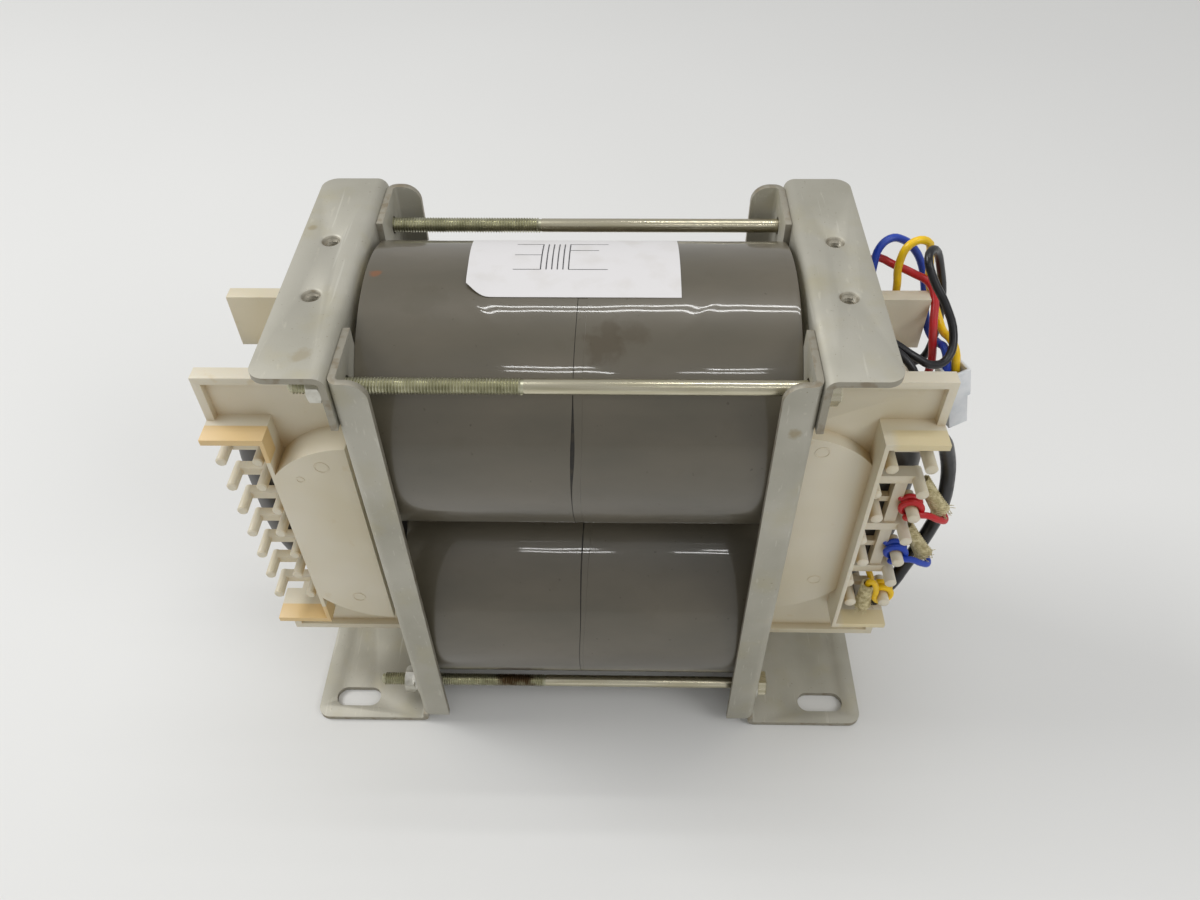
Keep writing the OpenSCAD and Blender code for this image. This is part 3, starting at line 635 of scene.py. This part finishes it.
def braidTree():
    # yarns wound both ways round a tube, with loose fibres at its mouth
    tree, sockets, given = startTree("braidedSleeveTree", {
        "Length": "Float", "Radius": "Float", "Yarns": "Int", "Yarn Radius": "Float", "Turns": "Float",
        "Fibres": "Int", "Fibre Length": "Float", "Seed": "Int", "Material": "Material"})
    index = addNode(tree, "GeometryNodeInputIndex").outputs["Index"]
    step = maths(tree, "DIVIDE", math.tau, given["Yarns"])
    turned = addNode(tree, "ShaderNodeCombineXYZ", links={"Z": maths(tree, "MULTIPLY", index, step)})
    anchors = addNode(tree, "GeometryNodeMeshLine", values={"Offset": (0, 0, 0)},
                      links={"Count": given["Yarns"]})
    section = addNode(tree, "GeometryNodeCurvePrimitiveCircle", values={"Resolution": 5},
                      links={"Radius": given["Yarn Radius"]})
    layers = []
    for backwards, gap in ((False, 0.4), (True, -0.4)):
        radius = maths(tree, "ADD", given["Radius"], maths(tree, "MULTIPLY", given["Yarn Radius"], gap))
        helix = addNode(tree, "GeometryNodeCurveSpiral", values={"Resolution": 20, "Reverse": backwards},
                        links={"Rotations": given["Turns"], "Start Radius": radius, "End Radius": radius,
                               "Height": given["Length"]})
        yarn = addNode(tree, "GeometryNodeCurveToMesh", values={"Fill Caps": True},
                       links={"Curve": helix.outputs["Curve"], "Profile Curve": section.outputs["Curve"]})
        layer = addNode(tree, "GeometryNodeInstanceOnPoints", links={
            "Points": anchors.outputs["Mesh"], "Instance": yarn.outputs["Mesh"],
            "Rotation": turned.outputs["Vector"]})
        layers.append(layer.outputs["Instances"])
    mouth = addNode(tree, "GeometryNodeMeshCircle",
                    links={"Vertices": given["Fibres"], "Radius": given["Radius"]})
    raised = addNode(tree, "ShaderNodeCombineXYZ", links={"Z": given["Length"]})
    placed = addNode(tree, "GeometryNodeTransform",
                     links={"Geometry": mouth.outputs["Mesh"], "Translation": raised.outputs["Vector"]})
    reach = addNode(tree, "ShaderNodeCombineXYZ", links={"Z": given["Fibre Length"]})
    fibre = addNode(tree, "GeometryNodeCurvePrimitiveLine", links={"End": reach.outputs["Vector"]})
    thin = addNode(tree, "GeometryNodeCurvePrimitiveCircle", values={"Resolution": 4},
                   links={"Radius": maths(tree, "MULTIPLY", given["Yarn Radius"], 0.35)})
    hair = addNode(tree, "GeometryNodeCurveToMesh", values={"Fill Caps": True},
                   links={"Curve": fibre.outputs["Curve"], "Profile Curve": thin.outputs["Curve"]})
    lean = addNode(tree, "FunctionNodeRandomValue", data_type="FLOAT_VECTOR", links={"Seed": given["Seed"]})
    lean.inputs["Min"].default_value = (-0.9, -0.9, 0)
    lean.inputs["Max"].default_value = (0.9, 0.9, 3)
    frayed = addNode(tree, "GeometryNodeInstanceOnPoints", links={
        "Points": placed.outputs["Geometry"], "Instance": hair.outputs["Mesh"],
        "Rotation": lean.outputs["Value"]})
    endTree(tree, given, layers + [frayed.outputs["Instances"]])
    return tree, sockets


threads, threadSockets = threadTree()
braid, braidSockets = braidTree()
print("node trees")


# ---- brackets, angles and mouldings


def markCutEdges(mesh, thickMm):
    # a face with metal just one sheet deep behind it is plated sheet; any other is a sheared edge
    tree = BVHTree.FromPolygons([v.co for v in mesh.vertices], [p.vertices for p in mesh.polygons])
    mesh.calc_loop_triangles()
    widest = {}
    for triangle in mesh.loop_triangles:
        known = widest.get(triangle.polygon_index)
        if not known or triangle.area > known.area:
            widest[triangle.polygon_index] = triangle
    for index, triangle in widest.items():
        face = mesh.polygons[index]
        hit = tree.ray_cast(triangle.center - face.normal * 0.02 * mm, -face.normal)
        face.material_index = 0 if hit[3] and hit[3] < (thickMm + 0.2) * mm else 1


tappedHoles = dict(x=60.4, y=10.7, top=146, long=3.4, pitch=0.7, bore=1.7,
                   mouth=((0.5, 3.0), (0, 2.75), (-0.25, 2.25), (-0.7, 1.9), (-1.4, 1.72)))


def holeCutter(side):
    settings = tappedHoles
    cutter = bmesh.new()
    for y in (-settings["y"], settings["y"]):
        ends = settings["mouth"][0][0], settings["mouth"][-1][0]
        profile = [(ends[0], 0)] + list(settings["mouth"]) + [(ends[1], 0)]
        loose = bpy.data.meshes.new("mouth")
        lathed(profile, (side * settings["x"], y, settings["top"]), axis="Z").to_mesh(loose)
        cutter.from_mesh(loose)
    mesh = bpy.data.meshes.new("cutter")
    cutter.to_mesh(mesh)
    cutter.free()
    holder = bpy.data.objects.new("cutter", mesh)
    scene.collection.objects.link(holder)
    return holder


def tapThreads(side):
    settings = tappedHoles
    parts = []
    for y in (-settings["y"], settings["y"]):
        # the tapped threads take the darker sheared-steel finish; it stands for cut steel and also for
        # painted shade in the deep hole
        mesh = growMesh("tap", threads, threadSockets, {
            "Length": (settings["long"] + settings["mouth"][-1][0]) * mm, "Pitch": settings["pitch"] * mm,
            "Ridge Radius": (settings["bore"] + 0.12) * mm, "Material": cutEdge})
        foot = Vector((side * settings["x"], y, settings["top"] - settings["long"]))
        mesh.transform(Matrix.Translation(foot * mm))
        parts.append((mesh, cutEdge))
    return parts


for nodeName in sheetWork["pieces"]:
    side = -1 if "left" in nodeName else 1
    cutter = holeCutter(side) if "angle" in nodeName else None
    mesh = easedMesh(nodeName, cadCopy(nodeName), sheetWork["edge"], cutter=cutter)
    mesh.materials.append(finishes["zinc_sheet"])
    mesh.materials.append(cutEdge)
    markCutEdges(mesh, sheetWork["thick"])
    if cutter:
        bpy.data.objects.remove(cutter)
        finishPiece("threads_" + nodeName, joinedMesh("tapThreads", tapThreads(side)))
    finishPiece("pressed_" + nodeName, mesh, [nodeName])

mouldings = dict(
    pieces=("left_cover_front", "left_cover_rear", "right_cover_front", "right_cover_rear"), edge=0.22,
    marks=[(59.8, -19.4, 104.6, 1.9), (-64.6, -24.3, 103, 1.9), (-71, -24.3, 98.4, 1.1),
           (65.8, -19.4, 51, 1.9), (-66, -24.3, 47, 1.9)], markHigh=0.1, markSunk=0.15, markWide=0.3)


def pinMark(place, radius):
    # ring left by an ejector pin of the mould
    low, high, inner = -mouldings["markSunk"], mouldings["markHigh"], radius - mouldings["markWide"]
    ring = lathed([(low, radius), (high, radius), (high, inner), (low, inner), (low, radius)], axis="Z")
    bmesh.ops.remove_doubles(ring, verts=ring.verts, dist=0.001 * mm)
    bmesh.ops.rotate(ring, verts=ring.verts, matrix=Matrix.Rotation(math.pi / 2, 3, "X"))
    bmesh.ops.translate(ring, verts=ring.verts, vec=Vector(place) * mm)
    return ring


for nodeName in mouldings["pieces"]:
    mesh = easedMesh(nodeName, cadCopy(nodeName), mouldings["edge"])
    low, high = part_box(nodeName)
    parts = [(mesh, finishes["cover_moulding"])]
    for x, y, z, radius in mouldings["marks"]:
        if low[0] < x * mm < high[0] and low[1] < (y + 0.1) * mm < high[1]:
            parts.append((pinMark((x, y, z), radius), finishes["cover_moulding"]))
    finishPiece("moulded_" + nodeName, joinedMesh(nodeName, parts), [nodeName])
print("sheet work and mouldings")


# ---- clamp bolts and their hardware

boltShape = dict(pitch=0.7, threadWide=3.9, threadLong=51, shankWide=3.5, headHigh=2.8, headAcross=7.0,
                 runOut=1.2)
for nodeName in ("bolt_upper_front", "bolt_upper_rear", "bolt_lower_front", "bolt_lower_rear"):
    low, high = (Vector(corner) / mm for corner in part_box(nodeName))
    y, z = (low.y + high.y) / 2, (low.z + high.z) / 2
    tip, headTop = low.x, high.x
    headFace = headTop - boltShape["headHigh"]
    threadEnd = tip + 0.5 + boltShape["threadLong"]
    ridge = boltShape["threadWide"] / 2 - boltShape["pitch"] / 2
    corner = boltShape["headAcross"] / 2 / math.cos(math.pi / 6)
    shankR = boltShape["shankWide"] / 2
    rod = lathed([(tip, 0), (tip, ridge - 0.35), (tip + 0.4, ridge), (threadEnd - 0.3, ridge),
                  (threadEnd, shankR),
                  (headFace + 0.1, shankR), (headFace + 0.1, 0)], (0, y, z))
    head = lathed([(headFace, 0), (headFace, corner - 0.35), (headFace + 0.25, corner),
                   (headTop - 0.35, corner),
                   (headTop, corner - 0.6), (headTop, 0)], (0, y, z), around=6)
    thread = growMesh("thread", threads, threadSockets, {
        "Length": (boltShape["threadLong"] - boltShape["runOut"]) * mm, "Pitch": boltShape["pitch"] * mm,
        "Ridge Radius": ridge * mm, "Material": threadFinish})
    start = Matrix.Translation(Vector((tip + 0.9, y, z)) * mm)
    thread.transform(start @ Matrix.Rotation(math.pi / 2, 4, "Y"))
    plain = finishes["bolt_zinc"]
    rodMesh = joinedMesh("rod", [(rod, plain), (head, plain), (thread, threadFinish)])
    for face in rodMesh.polygons:
        if face.material_index == 0 and face.center.x < (threadEnd - 0.2) * mm:
            face.material_index = 1
    finishPiece("clamp_" + nodeName, rodMesh, [nodeName])

for nodeName, edge in (("plain_washers", 0.12), ("spring_washers", 0.12), ("hex_nuts", 0.1)):
    mesh = easedMesh(nodeName, cadCopy(nodeName), edge, angle=35)
    mesh.materials.append(finishes[slotOf[nodeName]])
    finishPiece("plated_" + nodeName, mesh, [nodeName])
print("bolts, nuts and washers")


# ---- coils: film wraps and label


def alongCoil(x, angle, radius, axisZ):
    # angle runs from the top of the coil towards the front
    return Vector((x, -radius * math.sin(angle), axisZ + radius * math.cos(angle))) * mm


def bell(value, middle, width):
    return math.exp(-((value - middle) / width) ** 2)


def seamPlace(angle, upper):
    # where the two films meet, how far apart they stand there, and how far the right one laps under
    turn = math.degrees(angle)
    place = -0.3 - 1.4 * min(max((turn - 15) / 75, 0), 1) + 0.12 * math.sin(turn / 9)
    gap = 0.07 + (0.42 * bell(turn, 74, 15) if upper else 0.12 * bell(turn, 40, 30))
    lap = 2.3 - (0.2 if upper else 1.3 * min(max((turn - 25) / 55, 0), 1))
    return place, gap, lap


def filmHeight(x, angle, axisZ, upper):
    # waves of a few hundredths of a mm, with soft creases on the upper coil
    turn = math.degrees(angle)
    spot = Vector((x / 22, turn / 22, axisZ / 50))
    height = 0.05 * noise.noise(spot) + 0.03 * noise.noise(spot * 2.7)
    if upper:
        slope = (x + 24.5) - (turn - 17) * 0.62
        height += 0.1 * bell(slope, 0, 1.4) * bell(turn, 18, 11)
        height += 0.08 * bell((x - 27) + (turn - 22) * 0.5, 0, 1.6) * bell(turn, 22, 9)
    return height


def filmMesh(nodeName):
    settings = filmWrap
    axisZ, upper = settings["nodes"][nodeName], nodeName == "upper_wrap"
    solid = bmesh.new()
    half, radius, count = settings["halfLong"], settings["radius"], settings["across"]
    rings = []
    for j in range(settings["around"]):
        angle = math.tau * j / settings["around"]
        start = -half + 0.4
        seam, gap, lap = seamPlace(angle if angle < math.pi else angle - math.tau, upper)
        stations = [(-half, settings["fold"]), (-half, radius - 0.35), (-half + 0.12, radius - 0.12)]
        stations += [(x, radius - 0.1 + filmHeight(x, angle, axisZ, upper))
                     for x in (start + (seam - gap - start) * i / count for i in range(count + 1))]
        gapFloor = radius - settings["gapDeep"]
        stations += [(seam - gap + 0.02, gapFloor), (seam + gap - 0.02, gapFloor)]
        edge = seam + lap
        stations += [(x, radius - 0.16 + filmHeight(x, angle, axisZ, upper))
                     for x in (seam + gap + (edge - seam - gap) * i / 4 for i in range(5))]
        stations += [(x, radius - 0.08 + filmHeight(x, angle, axisZ, upper))
                     for x in (edge + 0.06 + (half - 0.4 - edge) * i / count for i in range(count + 1))]
        stations += [(half - 0.12, radius - 0.12), (half, radius - 0.35), (half, settings["fold"])]
        inside = half - settings["foldDeep"]
        stations += [(inside, settings["fold"]), (inside, settings["inner"]),
                     (-inside, settings["inner"]), (-inside, settings["fold"])]
        rings.append([solid.verts.new(alongCoil(x, angle, min(r, radius), axisZ)) for x, r in stations])
    floorFirst = 3 + count
    for j, ring in enumerate(rings):
        after = rings[(j + 1) % len(rings)]
        for i in range(len(ring)):
            k = (i + 1) % len(ring)
            face = solid.faces.new((ring[i], after[i], after[k], ring[k]))
            face.material_index = 1 if floorFirst <= i <= floorFirst + 2 else 0
    bmesh.ops.recalc_face_normals(solid, faces=solid.faces)
    mesh = bpy.data.meshes.new(nodeName)
    solid.to_mesh(mesh)
    solid.free()
    mesh.materials.append(finishes["coil_film"])
    mesh.materials.append(gapFinish)
    return mesh


for nodeName in filmWrap["nodes"]:
    finishPiece("film_" + nodeName, filmMesh(nodeName), [nodeName], smoothAngle=40)

paperLabel = dict(
    left=-27, leftFront=-25.8, right=23.2, back=-29, front=15, cutBack=9.5, cutRight=-20.5, thick=0.13,
    across=64, deep=24,
    uprights=(-9.2, -7.9, -6.6, -5.3, -4.0, -2.7), uprightEnds=(-20, 1), ink=0.24,
    taps=((-2.7, 6.4, -20), (-2.7, 4.2, -13), (-2.7, 6.4, 1),
          (-15.6, -9.2, -20), (-15.6, -9.2, -9), (-15.6, -9.2, 1)))


def labelPoint(u, v, lift):
    # u runs from the left edge to the right one, v from the back edge to the front one
    settings = paperLabel
    leftEdge = settings["left"] + (settings["leftFront"] - settings["left"]) * v
    x = leftEdge + (settings["right"] - leftEdge) * u
    slope = min((x - settings["leftFront"]) / (settings["cutRight"] - settings["leftFront"]), 1)
    rounded = math.sin(max(slope, 0) * math.pi / 2)
    front = settings["cutBack"] + (settings["front"] - settings["cutBack"]) * rounded
    turn = settings["back"] + (front - settings["back"]) * v
    curl = 0.8 * bell(x, settings["leftFront"], 4) * bell(turn, settings["cutBack"], 7)
    rumple = 0.03 * noise.noise(Vector((x / 6, turn / 8, 2)))
    radius = filmWrap["radius"] - 0.04 + lift + curl + rumple
    return alongCoil(x, math.radians(turn), radius, filmWrap["nodes"]["upper_wrap"])


def labelMesh():
    settings = paperLabel
    across, deep = settings["across"], settings["deep"]
    sheet = bmesh.new()
    grids = [[[sheet.verts.new(labelPoint(i / across, j / deep, lift)) for j in range(deep + 1)]
              for i in range(across + 1)] for lift in (0, settings["thick"])]
    low, high = grids
    for i in range(across):
        for j in range(deep):
            sheet.faces.new((high[i][j], high[i][j + 1], high[i + 1][j + 1], high[i + 1][j]))
            sheet.faces.new((low[i][j], low[i + 1][j], low[i + 1][j + 1], low[i][j + 1]))
    rim = [(i, 0) for i in range(across)] + [(across, j) for j in range(deep)]
    rim += [(i, deep) for i in range(across, 0, -1)] + [(0, j) for j in range(deep, 0, -1)]
    for (a, b), (c, d) in zip(rim, rim[1:] + rim[:1]):
        sheet.faces.new((low[a][b], high[a][b], high[c][d], low[c][d]))
    bmesh.ops.recalc_face_normals(sheet, faces=sheet.faces)
    return sheet


def inkStroke(x0, turn0, x1, turn1, wideMm):
    # a printed line on the label, as a strip that follows the coil
    stroke = bmesh.new()
    radius = filmWrap["radius"] + paperLabel["thick"] + 0.02
    axisZ = filmWrap["nodes"]["upper_wrap"]
    steps = 24
    rows = []
    for i in range(steps + 1):
        x, turn = x0 + (x1 - x0) * i / steps, turn0 + (turn1 - turn0) * i / steps
        side = (wideMm / 2, 0) if x0 == x1 else (0, wideMm / 2 / radius)
        angle = math.radians(turn)
        rows.append([stroke.verts.new(alongCoil(x + s * side[0], angle + s * side[1], radius + h, axisZ))
                     for s, h in ((-1, 0), (1, 0), (1, -0.05), (-1, -0.05))])
    for one, two in zip(rows, rows[1:]):
        for k in range(4):
            stroke.faces.new((one[k], one[(k + 1) % 4], two[(k + 1) % 4], two[k]))
    stroke.faces.new(rows[0])
    stroke.faces.new(rows[-1][::-1])
    bmesh.ops.recalc_face_normals(stroke, faces=stroke.faces)
    return stroke


labelParts = [(labelMesh(), finishes["label_paper"])]
backEnd, frontEnd = paperLabel["uprightEnds"]
for x in paperLabel["uprights"]:
    labelParts.append((inkStroke(x, backEnd, x, frontEnd, paperLabel["ink"]), ink))
for x0, x1, turn in paperLabel["taps"]:
    labelParts.append((inkStroke(x0, turn, x1, turn, 0.12), ink))
finishPiece("paper_label", joinedMesh("paper_label", labelParts), ["rating_label"])
print("film wraps and label")


# ---- winding ends on the right front posts, their sleeves, and the connector

windingEnds = dict(
    post=86.6, wire=1.8, turns=1.75, pitch=2.0, start=-16.7, coilRadius=2.55,
    rows=dict(red=82.8, blue=63.6, yellow=44.4),
    sleeves=[((89.4, -13.8, 88.5), 141, -28, 11), ((89.4, -13.8, 69.3), 141, -28, 11),
             ((81.6, -19.8, 50), 180, 0, 10)],
    wide=4.0, bore=2.8)


def postTurns(rowZ):
    # wire wound round a post from its bar outwards
    settings = windingEnds
    steps = round(settings["turns"] * 8)
    turns = []
    for i in range(steps + 1):
        angle = math.radians(150 - 45 * i)
        turns.append((settings["post"] + settings["coilRadius"] * math.cos(angle),
                      settings["start"] - settings["pitch"] * i / 8,
                      rowZ + settings["coilRadius"] * math.sin(angle)))
    return turns


for colour, rowZ in windingEnds["rows"].items():
    route = [(82.6, -13.2, rowZ + 4.6), (83.4, -15.2, rowZ + 3)] + postTurns(rowZ)
    if colour == "yellow":
        route += [(83.6, -20.8, rowZ + 5), (82.2, -20.4, rowZ + 7.2), (81.6, -19.9, rowZ + 6),
                  (81.6, -19.8, rowZ + 2.5)]
    else:
        route += [(90.4, -20.8, rowZ - 0.6), (94, -20.6, rowZ - 2.6), (96.6, -19, rowZ - 4.4),
                  (96.4, -17.6, rowZ - 4), (94.9, -16.6, rowZ - 1.8), (93.5, -15.9, rowZ)]
    mesh = evaluatedMesh(smoothWire(colour + "End", route, windingEnds["wire"]))
    name, slot = colour + "_winding_end", colour + "_pvc"
    finishPiece(name, joinedMesh(name, [(mesh, finishes[slot])]))

sleeveParts = []
for number, (place, lean, turn, long) in enumerate(windingEnds["sleeves"]):
    outer, inner = windingEnds["wide"] / 2 - 0.3, windingEnds["bore"] / 2
    wall = lathed([(0, inner), (0, outer), (long, outer), (long, inner), (0, inner)], axis="Z", around=32)
    bmesh.ops.remove_doubles(wall, verts=wall.verts, dist=0.001 * mm)
    wallMesh = bpy.data.meshes.new("sleeveWall")
    wall.to_mesh(wallMesh)
    wall.free()
    yarns = growMesh("yarns", braid, braidSockets, {
        "Length": long * mm, "Radius": (windingEnds["wide"] / 2 - 0.24) * mm, "Yarns": 14,
        "Yarn Radius": 0.2 * mm, "Turns": 1.1, "Fibres": 36, "Fibre Length": 1.3 * mm, "Seed": number,
        "Material": finishes["glass_sleeve"]})
    move = (Matrix.Translation(Vector(place) * mm) @ Matrix.Rotation(math.radians(turn), 4, "Z")
            @ Matrix.Rotation(math.radians(lean), 4, "Y"))
    for mesh in (wallMesh, yarns):
        for vertex in mesh.vertices:
            flare = 1 + 0.28 * (vertex.co.z / long / mm) ** 3
            vertex.co.x *= flare
            vertex.co.y *= flare
        mesh.transform(move)
        sleeveParts.append((mesh, finishes["glass_sleeve"]))
finishPiece("braided_sleeves", joinedMesh("braided_sleeves", sleeveParts), ["lead_sleeves"])

mesh = easedMesh("connector", cadCopy("connector_housing"), 0.25)
mesh.materials.append(finishes["connector_nylon"])
housing = finishPiece("moulded_connector_housing", mesh, ["connector_housing"])
print("winding ends, sleeves and connector")

for name, lead in leads.items():
    piece = smoothWire(name, lead["route"], lead["wide"])
    piece.data.materials.append(finishes[slotOf[lead["node"]]])
    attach(piece, "root")
    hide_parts(lead["node"])
print("leads:", len(leads))


# ---- floor and light

stageSet = dict(width=3.0, below=0.0002, colour="#e4e4e2", shadeColour="#e0e0de",
                worldColour="#ffffff", worldStrength=0.5)


def layFloor(settings):
    material, tree, shader, place = startMaterial("paleStudioFloor", Roughness=0.75)
    tone = patches(tree, place, 400, 0.3, 0.7)
    colour = tinted(tree, tone, settings["colour"], settings["shadeColour"])
    tree.links.new(colour, shader.inputs["Base Color"])
    half = settings["width"] / 2
    mesh = bpy.data.meshes.new("floor")
    corners = [(x * half, y * half, -settings["below"]) for x, y in ((-1, -1), (1, -1), (1, 1), (-1, 1))]
    mesh.from_pydata(corners, [], [(0, 1, 2, 3)])
    floor = bpy.data.objects.new("floor", mesh)
    scene.collection.objects.link(floor)
    mesh.materials.append(material)


def addSoftbox(name, place, target, size, watts):
    lamp = bpy.data.lights.new(name, "AREA")
    lamp.shape = "RECTANGLE"
    lamp.size, lamp.size_y = size
    lamp.energy = watts
    holder = bpy.data.objects.new(name, lamp)
    holder.location = Vector(place)
    holder.rotation_euler = (Vector(target) - Vector(place)).to_track_quat("-Z", "Y").to_euler()
    scene.collection.objects.link(holder)


layFloor(stageSet)
world = bpy.data.worlds.new("studio")
world.use_nodes = True
world.node_tree.nodes["Background"].inputs["Color"].default_value = linearColour(stageSet["worldColour"])
world.node_tree.nodes["Background"].inputs["Strength"].default_value = stageSet["worldStrength"]
scene.world = world
softboxes = dict(keySoftbox=dict(place=(-0.8, 0.15, 0.85), wide=0.45, watts=5.5),
                 fillSoftbox=dict(place=(0.75, -0.5, 0.85), wide=0.5, watts=2.6))
for name, box in softboxes.items():
    addSoftbox(name, box["place"], (0, 0, 0.07), (box["wide"], box["wide"]), box["watts"])

# pairs of thin tubes give the double streaks on the film; each row is x, y and length in metres
tubes = dict(high=0.75, thick=0.012, wattsPerMetre=0.9, rows=dict(
    rearTubeOne=(0.1, 0.10, 0.42), rearTubeTwo=(0.1, 0.15, 0.42),
    leftTubeOne=(-0.06, -0.47, 0.08), leftTubeTwo=(-0.05, -0.52, 0.1),
    rightTubeOne=(0.13, -0.47, 0.07), rightTubeTwo=(0.12, -0.52, 0.09)))
for name, (x, y, long) in tubes["rows"].items():
    addSoftbox(name, (x, y, tubes["high"]), (x, y, 0), (long, tubes["thick"]), long * tubes["wattsPerMetre"])
scene.view_settings.view_transform = "Standard"
print("stage set")
